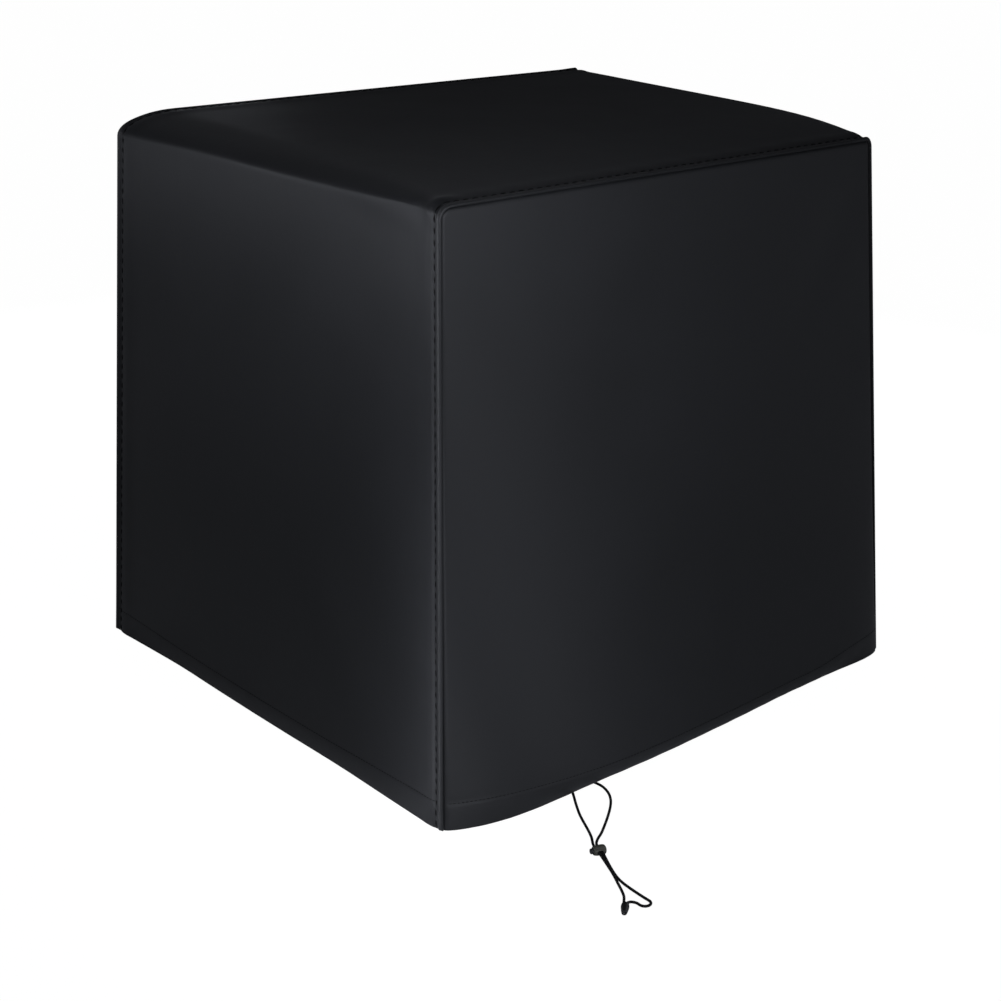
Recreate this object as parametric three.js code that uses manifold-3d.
// A hollow, boxy cloth cover for a pool filter, hanging as it does over the filter.
// One long panel wraps over the left side, the top and the right side. A front and a back
// panel close the ends. The hem is a casing with a drawcord, which comes out at the front
// and lies on the ground with its cord lock and its cord end.
// Millimetres, +Z up, +X along the front panel. The origin is under the middle of the top.

import * as THREE from 'three';
import { mergeVertices } from 'three/addons/utils/BufferGeometryUtils.js';
import Module from 'manifold-3d';

const wasm = await Module();
wasm.setup();

// Cloth
const CLOTH = 1.5; // one layer of coated cloth
const CASING_CLOTH = 2.6; // the hem's casing is two layers
const CASING_EDGE = 2; // height over which the casing thins to one layer
const GAP = 0.45; // between sewn panels
const LAP = 1.2; // the wrap panel's folded edge stands this far in front of the end panels
const FOLD_WIDTH = 5; // width of the folded and stitched edge
const FOLD_STEP = 1.5; // width of the step beside it
const FOLD_PROUD = 0.7; // the folded edge is this much thicker

// The four upright corners, measured from a point near the front left foot, hem at height 0.
// top: x, y and height where the side, the top and the end meet; foot: x and y at the hem;
// roll: how far the roll from side to top reaches across the top and down the side there.
const CORNERS = {
  frontLeft: { top: [15.1, -9.8, 658], foot: [-23.1, -53.4], roll: [16, 15] },
  frontRight: { top: [653, 8.2, 641.2], foot: [680, -28], roll: [6.5, 9.5] },
  backLeft: { top: [-6, 580, 663], foot: [-32.3, 621.6], roll: [72, 24.5] },
  backRight: { top: [681.6, 562, 645], foot: [690, 612], roll: [5, 12] },
};
const ROLL_SWELL = { left: 10, right: 4 }; // how much larger the roll is halfway to the back
const CROWN = 17.2; // the top bellies up behind the front seam
const CROWN_RISE = 0.144; // how fast, as a part of the depth
const CROWN_POWER = 1.2; // and how softly it starts
const CROWN_LEFT = 0.7; // share of the crown that is left over the left roll

// Hem: turn is the angle by which the casing curls inwards, lift is its height over the
// ground, and fade is the length over which both grow from each end of the hem.
const CASING = 31;
const HEMS = {
  front: { turn: 70, lift: 5, startFade: 240, endFade: 155 },
  back: { turn: 60, lift: 0, startFade: 120, endFade: 120 },
  left: { turn: 29, lift: 0, startFade: 230, endFade: 172 },
  right: { turn: 30, lift: 0, startFade: 120, endFade: 120 },
};

// Bellies: reach at the casing, how fast it grows from the start of the hem, and how it
// dies away towards the top.
const FRONT_BELLY = { reach: 66.3, growth: 110, fall: 0.49, height: 2.2 };
const BACK_BELLY = { reach: 30, height: 2.2 };
const SIDE_BELLY = { reach: 5.6, height: 1.6 };

// Grid steps
const CASING_STEPS = 4;
const LEG_STEPS = 7;
const ARC_STEPS = 6;
const TOP_STEPS = 12;
const DEPTH_STEPS = 14;
const COLUMN_STEPS = 16;
const ROW_STEPS = 10;
const ROW_SPREAD = 1.3; // rows lie closer together near the hem

// Drawcord, cord lock and cord end
const CORD = 3;
const CORD_SIDES = 8;
const CORD_STEP = 7.5;
const CORD_PITCH = 3.4; // between the two strands where they run side by side
const CORD_GAP = 0.3;
const LOCK_AT = [75.9, -190, 5.6];
const LOCK_TURN = -20; // degrees about Z, from the cord running towards -Y
const LOCK_RADIUS = 5.6;
const LOCK_LENGTH = 14.6;
const LOCK_WALL = 1.2;
const LOCK_STATIONS = [-9.5, -6.5, -3, 0, 3, 6.5, 9.5]; // of a strand's straight run through the lock
const BUTTON_RADIUS = 3.5;
const BUTTON_TRAVEL = 2.2;
const BUTTON_HEAD = 3.2;
const BUTTON_HEAD_RADIUS = 3;
const BUTTON_WEB = 1;
const SLOT_HEIGHT = CORD + 2 * CORD_GAP;
const SLOT_LENGTH = CORD_PITCH + CORD + 2 * CORD_GAP;
const END_AT = [28.6, -284, 4.4];
const END_TURN = -136; // degrees about Z, the way that the cord end points

// Turned profiles, in rows of place along the axis, in mm, and radius.
// The radii of the barrel and of the button's head are shares of the full radius.
const BARREL_MOUTH = [[0, 0], [0, 0.72], [1.6, 0.93], [4.5, 1]]; // from the open end
const BARREL_BACK = [[-5, 1], [-2, 0.88], [-0.5, 0.55], [0, 0]]; // from the closed end
const HEAD_TIP = [[0, 0], [0, 0.7], [0.8, 1]]; // from the head's outer end
const HEAD_NECK = { before: 0.2, after: 0.4 }; // the head meets the pin across the barrel's mouth
const END_PROFILE = [[0, 0], [0, 3.5], [3.2, 4.2], [6, 4.25], [16, 2.9], [17, 2.4], [17, 0]];

const toRadians = THREE.MathUtils.degToRad;
const vec = (x, y, z) => new THREE.Vector3(x, y, z);
const mix = (a, b, t) => a + (b - a) * t;

/** Smooth step from 0 to 1 while t goes from 0 to 1. */
function ease(t) {
  const c = THREE.MathUtils.clamp(t, 0, 1);
  return c * c * (3 - 2 * c);
}

/** Fabric material with one dark colour. */
function cloth(color) {
  return new THREE.MeshStandardMaterial({ color, roughness: 0.55, metalness: 0 });
}

/** Top point and foot point of an upright corner line, a part v of the way from a to b. */
function cornerLine(a, b, v) {
  const top = vec(...a.top).lerp(vec(...b.top), v);
  const foot = vec(...a.foot, 0).lerp(vec(...b.foot, 0), v);
  return { top, foot, down: foot.clone().sub(top).normalize() };
}

/** How far the casing's curl and lift have grown, s along a hem of the given length. */
function hemShare(hem, s, length) {
  return ease(s / hem.startFade) * ease((length - s) / hem.endFade);
}

/**
 * Point on a casing, q of the way from its stitched upper edge to the cloth's end.
 * The casing curls with an even bend from straight down to its turn angle.
 */
function casingPoint(line, down, inward, turn, q) {
  const arc = CASING * q;
  const angle = Math.max(turn * q, 1e-6);
  return line.clone()
    .addScaledVector(down, (arc * Math.sin(angle)) / angle)
    .addScaledVector(inward, (arc * (1 - Math.cos(angle))) / angle);
}

/** Height of the casing's upper edge when its lower end is lifted by the given height. */
function casingTop(turn, lift) {
  const angle = Math.max(turn, 1e-6);
  return lift + (CASING * Math.sin(angle)) / angle;
}

/** Point on the line from a top point to a foot point, at a given height. */
function atHeight(top, foot, height) {
  return foot.clone().lerp(top, height / top.z);
}

/**
 * Closed thin shell over a grid of points. base(i, j) is the outer face, wall(i, j) the
 * thickness inwards and proud(i, j) what the outer face gains over the base.
 */
function shell(rows, columns, base, wall, proud = () => 0) {
  const grid = [];
  for (let i = 0; i <= rows; i += 1) {
    grid.push([]);
    for (let j = 0; j <= columns; j += 1) {
      grid[i].push(base(i, j));
    }
  }
  const outer = [];
  const inner = [];
  for (let i = 0; i <= rows; i += 1) {
    for (let j = 0; j <= columns; j += 1) {
      const along = grid[Math.min(i + 1, rows)][j].clone().sub(grid[Math.max(i - 1, 0)][j]);
      const across = grid[i][Math.min(j + 1, columns)].clone().sub(grid[i][Math.max(j - 1, 0)]);
      const normal = along.cross(across).normalize();
      outer.push(grid[i][j].clone().addScaledVector(normal, proud(i, j)));
      inner.push(grid[i][j].clone().addScaledVector(normal, -wall(i, j)));
    }
  }
  const width = columns + 1;
  const count = (rows + 1) * width;
  const index = [];
  const quad = (a, b, c, d) => index.push(a, b, c, a, c, d);
  for (let i = 0; i < rows; i += 1) {
    for (let j = 0; j < columns; j += 1) {
      const a = i * width + j;
      quad(a, a + width, a + width + 1, a + 1);
      quad(count + a, count + a + 1, count + a + width + 1, count + a + width);
    }
  }
  for (let i = 0; i < rows; i += 1) {
    const a = i * width;
    const b = a + columns;
    quad(a, count + a, count + a + width, a + width);
    quad(b, b + width, count + b + width, count + b);
  }
  for (let j = 0; j < columns; j += 1) {
    const b = rows * width + j;
    quad(j, j + 1, count + j + 1, count + j);
    quad(b, count + b, count + b + 1, b + 1);
  }
  const geometry = new THREE.BufferGeometry();
  const flat = [...outer, ...inner].flatMap((p) => [p.x, p.y, p.z]);
  geometry.setAttribute('position', new THREE.Float32BufferAttribute(flat, 3));
  geometry.setIndex(index);
  return geometry;
}

/** Shares of a leg's length at its rows: its start, just above the casing, then opening out. */
function legShares(length, steps) {
  const shares = [0, CASING_EDGE / length];
  for (let k = 1; k <= steps; k += 1) {
    shares.push((k / steps) ** ROW_SPREAD);
  }
  return shares;
}

/** Depth lines of the wrap panel: close together on the folded edges, even between them. */
function depthLines() {
  const depth = CORNERS.backLeft.top[1] - CORNERS.frontLeft.top[1];
  const fold = FOLD_WIDTH / depth;
  const step = (FOLD_WIDTH + FOLD_STEP) / depth;
  const lines = [{ v: 0, fold: 1 }, { v: fold, fold: 1 }];
  for (let k = 0; k <= DEPTH_STEPS; k += 1) {
    lines.push({ v: mix(step, 1 - step, k / DEPTH_STEPS), fold: 0 });
  }
  lines.push({ v: 1 - fold, fold: 1 }, { v: 1, fold: 1 });
  return lines;
}

/** Crown of the top at depth v: up fast behind the front seam, down slowly to the back. */
function crownAt(v) {
  return CROWN * (1 - v) * (1 - Math.exp(-((v / CROWN_RISE) ** CROWN_POWER)));
}

/** One side of the wrap panel at depth v: its corner line, roll and hem. */
function wrapSide(side, v) {
  const front = CORNERS[side === 'left' ? 'frontLeft' : 'frontRight'];
  const back = CORNERS[side === 'left' ? 'backLeft' : 'backRight'];
  const line = cornerLine(front, back, v);
  const length = back.foot[1] - front.foot[1];
  const share = hemShare(HEMS[side], v * length, length);
  const swell = ROLL_SWELL[side] * 4 * v * (1 - v);
  return {
    ...line,
    inward: vec(side === 'left' ? 1 : -1, 0, 0),
    roll: front.roll.map((size, k) => mix(size, back.roll[k], v) + swell),
    turn: toRadians(HEMS[side].turn) * share,
    lift: HEMS[side].lift * share,
  };
}

/** Rows of one side of the wrap panel, from the cloth's end up to the top of its roll. */
function sideRows(side, across, v) {
  const edge = atHeight(side.top, side.foot, casingTop(side.turn, side.lift));
  const belly = SIDE_BELLY.reach * Math.sin(Math.PI * v);
  const [over, under] = side.roll;
  const rows = [];
  for (let k = CASING_STEPS; k > 0; k -= 1) {
    const point = casingPoint(edge, side.down, side.inward, side.turn, k / CASING_STEPS);
    rows.push(point.addScaledVector(side.inward, -belly));
  }
  const rollStart = side.top.clone().addScaledVector(side.down, under);
  for (const t of legShares(edge.distanceTo(rollStart), LEG_STEPS)) {
    const point = edge.clone().lerp(rollStart, t);
    rows.push(point.addScaledVector(side.inward, -belly * (1 - t) ** SIDE_BELLY.height));
  }
  for (let k = 1; k <= ARC_STEPS; k += 1) {
    const angle = (Math.PI / 2) * (k / ARC_STEPS);
    const point = side.top.clone()
      .addScaledVector(side.down, under * (1 - Math.sin(angle)))
      .addScaledVector(across, over * (1 - Math.cos(angle)));
    point.z += side.crown * Math.sin(angle) ** 2;
    rows.push(point);
  }
  return rows;
}

/** Section of the wrap panel at depth v: up the left side, over the top, down the right. */
function wrapSection(v) {
  const left = { ...wrapSide('left', v), crown: CROWN_LEFT * crownAt(v) };
  const right = { ...wrapSide('right', v), crown: crownAt(v) };
  const across = right.top.clone().sub(left.top).normalize();
  const up = sideRows(left, across, v);
  const down = sideRows(right, across.clone().negate(), v).reverse();
  const start = left.top.clone().addScaledVector(across, left.roll[0]);
  const end = right.top.clone().addScaledVector(across, -right.roll[0]);
  const top = [];
  for (let k = 1; k < TOP_STEPS; k += 1) {
    const t = k / TOP_STEPS;
    const point = start.clone().lerp(end, t);
    point.z += mix(left.crown, right.crown, t);
    top.push(point);
  }
  return [...up, ...top, ...down];
}

/** The wrap panel: left side, top and right side in one length of cloth. */
function wrapPanel() {
  const lines = depthLines();
  const sections = lines.map(({ v }) => wrapSection(v));
  const rows = sections[0].length - 1;
  const isCasing = (i) => i <= CASING_STEPS || i >= rows - CASING_STEPS;
  return shell(
    rows,
    lines.length - 1,
    (i, j) => sections[j][i],
    (i, j) => (isCasing(i) && !lines[j].fold ? CASING_CLOTH : CLOTH),
    (i, j) => lines[j].fold * FOLD_PROUD,
  );
}

/** Frame of one end panel: its two inset corner lines, hem and outward direction. */
function endFrame(start, end, hem, outward) {
  const inset = CLOTH + GAP;
  const a = cornerLine(start, start, 0);
  const b = cornerLine(end, end, 0);
  const across = b.top.clone().sub(a.top).normalize();
  const hemAcross = b.foot.clone().sub(a.foot).normalize();
  for (const [line, sign] of [[a, 1], [b, -1]]) {
    line.top.addScaledVector(across, sign * inset).addScaledVector(line.down, inset);
    line.foot.addScaledVector(hemAcross, sign * inset);
    line.top.addScaledVector(outward, -LAP);
    line.foot.addScaledVector(outward, -LAP);
  }
  const rolls = [start.roll, end.roll].map((roll) => roll.map((size) => size - inset));
  return { a, b, across, rolls, hem, outward, length: a.foot.distanceTo(b.foot) };
}

/** Columns of an end panel: their place along the top and the point that they reach up to. */
function endColumns(frame) {
  const { a, b, across, rolls } = frame;
  const width = a.top.distanceTo(b.top);
  const columns = [];
  const cornerColumn = (line, sign, roll, angle) => {
    const run = roll[0] * (1 - Math.cos(angle));
    const reach = line.top.clone()
      .addScaledVector(across, sign * run)
      .addScaledVector(line.down, roll[1] * (1 - Math.sin(angle)));
    return { place: sign > 0 ? run / width : 1 - run / width, reach };
  };
  for (let k = 0; k <= ARC_STEPS; k += 1) {
    columns.push(cornerColumn(a, 1, rolls[0], (Math.PI / 2) * (k / ARC_STEPS)));
  }
  for (let k = 1; k < COLUMN_STEPS; k += 1) {
    const place = mix(rolls[0][0] / width, 1 - rolls[1][0] / width, k / COLUMN_STEPS);
    columns.push({ place, reach: a.top.clone().lerp(b.top, place) });
  }
  for (let k = ARC_STEPS; k >= 0; k -= 1) {
    columns.push(cornerColumn(b, -1, rolls[1], (Math.PI / 2) * (k / ARC_STEPS)));
  }
  return columns;
}

/** An end panel between the wrap panel's edges. belly(s, length) is its reach at the hem. */
function endPanel(frame, belly, bellyHeight) {
  const { a, b, hem, outward, length } = frame;
  const inward = outward.clone().negate();
  const sections = endColumns(frame).map(({ place, reach }) => {
    const foot = a.foot.clone().lerp(b.foot, place);
    const share = hemShare(hem, place * length, length);
    const turn = toRadians(hem.turn) * share;
    const edge = atHeight(reach, foot, casingTop(turn, hem.lift * share));
    const down = foot.clone().sub(reach).normalize();
    const out = belly(place * length, length);
    const points = [];
    for (let k = CASING_STEPS; k > 0; k -= 1) {
      const point = casingPoint(edge, down, inward, turn, k / CASING_STEPS);
      points.push(point.addScaledVector(outward, out));
    }
    for (const t of legShares(edge.distanceTo(reach), ROW_STEPS)) {
      const point = edge.clone().lerp(reach, t);
      points.push(point.addScaledVector(outward, out * (1 - t) ** bellyHeight));
    }
    return points;
  }).reverse();
  return shell(
    sections[0].length - 1,
    sections.length - 1,
    (i, j) => sections[j][i],
    (i) => (i <= CASING_STEPS ? CASING_CLOTH : CLOTH),
  );
}

/** Reach of the front belly, s along the hem from its left end. */
function frontBelly(s, length) {
  const grown = 1 - Math.exp(-s / FRONT_BELLY.growth);
  return FRONT_BELLY.reach * grown * (1 - s / length) ** FRONT_BELLY.fall;
}

/** Reach of the back belly, highest in the middle. */
function backBelly(s, length) {
  return BACK_BELLY.reach * Math.sin((Math.PI * s) / length);
}

/** Closed tube of the drawcord along a route of points. */
function cordTube(points) {
  const path = new THREE.CatmullRomCurve3(points.map((p) => vec(...p)), false, 'centripetal');
  const section = new THREE.Shape();
  for (let k = 0; k < CORD_SIDES; k += 1) {
    const angle = (2 * Math.PI * k) / CORD_SIDES;
    const x = (CORD / 2) * Math.cos(angle);
    const y = (CORD / 2) * Math.sin(angle);
    if (k === 0) {
      section.moveTo(x, y);
    } else {
      section.lineTo(x, y);
    }
  }
  const steps = Math.round(path.getLength() / CORD_STEP);
  return new THREE.ExtrudeGeometry(section, { steps, extrudePath: path, bevelEnabled: false });
}

/** Point beside the cord lock: across it along its axis, and along the cord, at a height. */
function besideLock(across, along, height) {
  const turn = toRadians(LOCK_TURN);
  const x = LOCK_AT[0] + across * Math.cos(turn) + along * Math.sin(turn);
  const y = LOCK_AT[1] + across * Math.sin(turn) - along * Math.cos(turn);
  return [x, y, height];
}

/** The stretch of one strand through the cord lock; across is its place along the axis. */
function throughLock(across) {
  return LOCK_STATIONS.map((along) => besideLock(across, along, LOCK_AT[2]));
}

// Routes of the two strands, from the casing to the cord end. Heights are of the cord's middle.
const LEFT_ROUTE = [
  [140.2, -73.2, 1.7], [136, -80, 1.7], [124.2, -98.4, 1.7], [113.1, -117.3, 1.7],
  [105, -134, 1.7], [96.8, -150.6, 2.3], [89.3, -163.2, 3.8], [82.2, -173, 5.2],
  [79.4, -177, 5.5], ...throughLock(-CORD_PITCH / 2), [65.8, -211.5, 5.4], [62.7, -220.5, 4.4],
  [59.2, -229.6, 3.9], [55.1, -239.4, 2.9], [51.3, -248, 1.9], [45.5, -259.7, 1.9],
  [38.4, -270.9, 3.2], [31, -279.1, 4.4], [27.7, -282.6, 4.4],
];
const RIGHT_ROUTE = [
  [172.6, -69.5, 1.7], [173.8, -77, 1.7], [173.7, -85, 1.7], [169.6, -98.7, 1.7],
  [161.5, -112, 1.7], [150.4, -124, 1.7], [134.9, -137.6, 1.7], [117.9, -151.2, 1.8],
  [102.6, -163.2, 3.3], [94.6, -168.6, 4.3], [88, -173.6, 5.2], [83.6, -177.6, 5.5],
  ...throughLock(CORD_PITCH / 2), [68.8, -212.6, 3.6], [65.3, -221.6, 2.2], [61.8, -230.5, 1.7],
  [58.8, -239, 1.7], [56.7, -248, 1.7], [55.4, -260, 1.7], [54.7, -273, 1.7], [54.4, -284, 1.7],
  [54.4, -290.8, 1.7], [53.92, -293.21, 1.7], [52.55, -295.25, 1.7], [50.51, -296.62, 1.7],
  [48.1, -297.1, 1.7], [45.69, -296.62, 1.7], [43.65, -295.25, 1.7], [42.28, -293.21, 1.7],
  [41.8, -290.8, 1.7], [41.8, -288.5, 1.8], [41.32, -286.09, 2], [39.95, -284.05, 2.3],
  [37.91, -282.68, 2.8], [35.5, -282.2, 3.3], [33.09, -282.68, 3.8], [31.05, -284.05, 4.2],
  [30.1, -285, 4.4],
];

/** Manifold solid from a geometry, its shared vertices merged. */
function solid(geometry) {
  const plain = geometry.clone();
  plain.deleteAttribute('normal');
  plain.deleteAttribute('uv');
  const merged = mergeVertices(plain, 1e-5);
  return new wasm.Manifold(new wasm.Mesh({
    numProp: 3,
    vertProperties: merged.attributes.position.array,
    triVerts: merged.index.array,
  }));
}

/** Geometry from a manifold solid. */
function geometryOf(manifold) {
  const mesh = manifold.getMesh();
  const geometry = new THREE.BufferGeometry();
  geometry.setAttribute('position', new THREE.BufferAttribute(mesh.vertProperties, 3));
  geometry.setIndex(new THREE.BufferAttribute(mesh.triVerts, 1));
  return geometry;
}

/** Profile rows moved along the axis, their radii scaled. */
function placed(rows, along, radius) {
  return rows.map(([x, share]) => [x + along, share * radius]);
}

/** Turned solid along X from a profile of [x, radius] rows. */
function turned(profile, sides = 20) {
  const points = profile.map(([x, radius]) => new THREE.Vector2(radius, x));
  return new THREE.LatheGeometry(points, sides).rotateZ(-Math.PI / 2);
}

/** Box that runs along Y through a piece: its middle x, its length and its height. */
function slotBox(middle, length, height) {
  return new THREE.BoxGeometry(length, 4 * LOCK_RADIUS, height).translate(middle, 0, 0);
}

/** Barrel of the cord lock along X, cord slot in its middle, bore open towards -X. */
function lockBody() {
  const boreEnd = SLOT_LENGTH / 2 + BUTTON_WEB + BUTTON_TRAVEL + CORD_GAP;
  const back = boreEnd + LOCK_WALL;
  const front = back - LOCK_LENGTH;
  const barrel = solid(turned([
    ...placed(BARREL_MOUTH, front, LOCK_RADIUS), ...placed(BARREL_BACK, back, LOCK_RADIUS),
  ]));
  const boreStart = front - LOCK_WALL;
  const boreRadius = BUTTON_RADIUS + CORD_GAP;
  const bore = solid(turned([
    [boreStart, 0], [boreStart, boreRadius], [boreEnd, boreRadius], [boreEnd, 0],
  ]));
  const slot = solid(slotBox(0, SLOT_LENGTH, SLOT_HEIGHT));
  return { geometry: geometryOf(barrel.subtract(bore).subtract(slot)), front };
}

/** Button of the cord lock: a pin with the cord slot, long enough for its travel. */
function lockButton(front) {
  const slotEnd = SLOT_LENGTH / 2;
  const slotStart = -slotEnd - BUTTON_TRAVEL;
  const pinEnd = slotEnd + BUTTON_WEB;
  const pin = solid(turned([
    ...placed(HEAD_TIP, front - BUTTON_HEAD, BUTTON_HEAD_RADIUS),
    [front - HEAD_NECK.before, BUTTON_HEAD_RADIUS], [front + HEAD_NECK.after, BUTTON_RADIUS],
    [pinEnd, BUTTON_RADIUS], [pinEnd, 0],
  ]));
  const slot = solid(slotBox((slotStart + slotEnd) / 2, slotEnd - slotStart, SLOT_HEIGHT));
  return geometryOf(pin.subtract(slot));
}

const cover = new THREE.Group();
const add = (name, geometry, material, parent = cover) => {
  const mesh = new THREE.Mesh(geometry, material);
  mesh.name = name;
  parent.add(mesh);
  return mesh;
};

const back = vec(0, 1, 0);
const front = vec(0, -1, 0);
const frontFrame = endFrame(CORNERS.frontLeft, CORNERS.frontRight, HEMS.front, front);
const backFrame = endFrame(CORNERS.backRight, CORNERS.backLeft, HEMS.back, back);

add('wrap_panel', wrapPanel(), cloth('#202124'));
add('front_end_panel', endPanel(frontFrame, frontBelly, FRONT_BELLY.height), cloth('#26272a'));
add('back_end_panel', endPanel(backFrame, backBelly, BACK_BELLY.height), cloth('#222326'));
add('drawcord_left', cordTube(LEFT_ROUTE), cloth('#0c0c0d'));
add('drawcord_right', cordTube(RIGHT_ROUTE), cloth('#0c0c0d'));

const lock = new THREE.Group();
lock.position.set(...LOCK_AT);
lock.rotation.z = toRadians(LOCK_TURN);
cover.add(lock);
const barrel = lockBody();
const plastic = new THREE.MeshStandardMaterial({ color: '#34342f', roughness: 0.4, metalness: 0 });
const blackPlastic = new THREE.MeshStandardMaterial({ color: '#101010', roughness: 0.4, metalness: 0 });
add('cord_lock_body', barrel.geometry, plastic, lock);
add('cord_lock_button', lockButton(barrel.front), blackPlastic, lock);

// The cord end is bell-shaped, and its flat face meets the two strands.
const end = add('cord_end', turned(END_PROFILE), blackPlastic);
end.position.set(...END_AT);
end.rotation.z = toRadians(END_TURN);

// The origin goes to the underside of the top, at its middle.
const middle = wrapSection(0.5);
const centre = middle[(middle.length - 1) / 2];
cover.position.set(-centre.x, -centre.y, -(centre.z - CLOTH));

const part = new THREE.Group();
part.add(cover);

export default part;
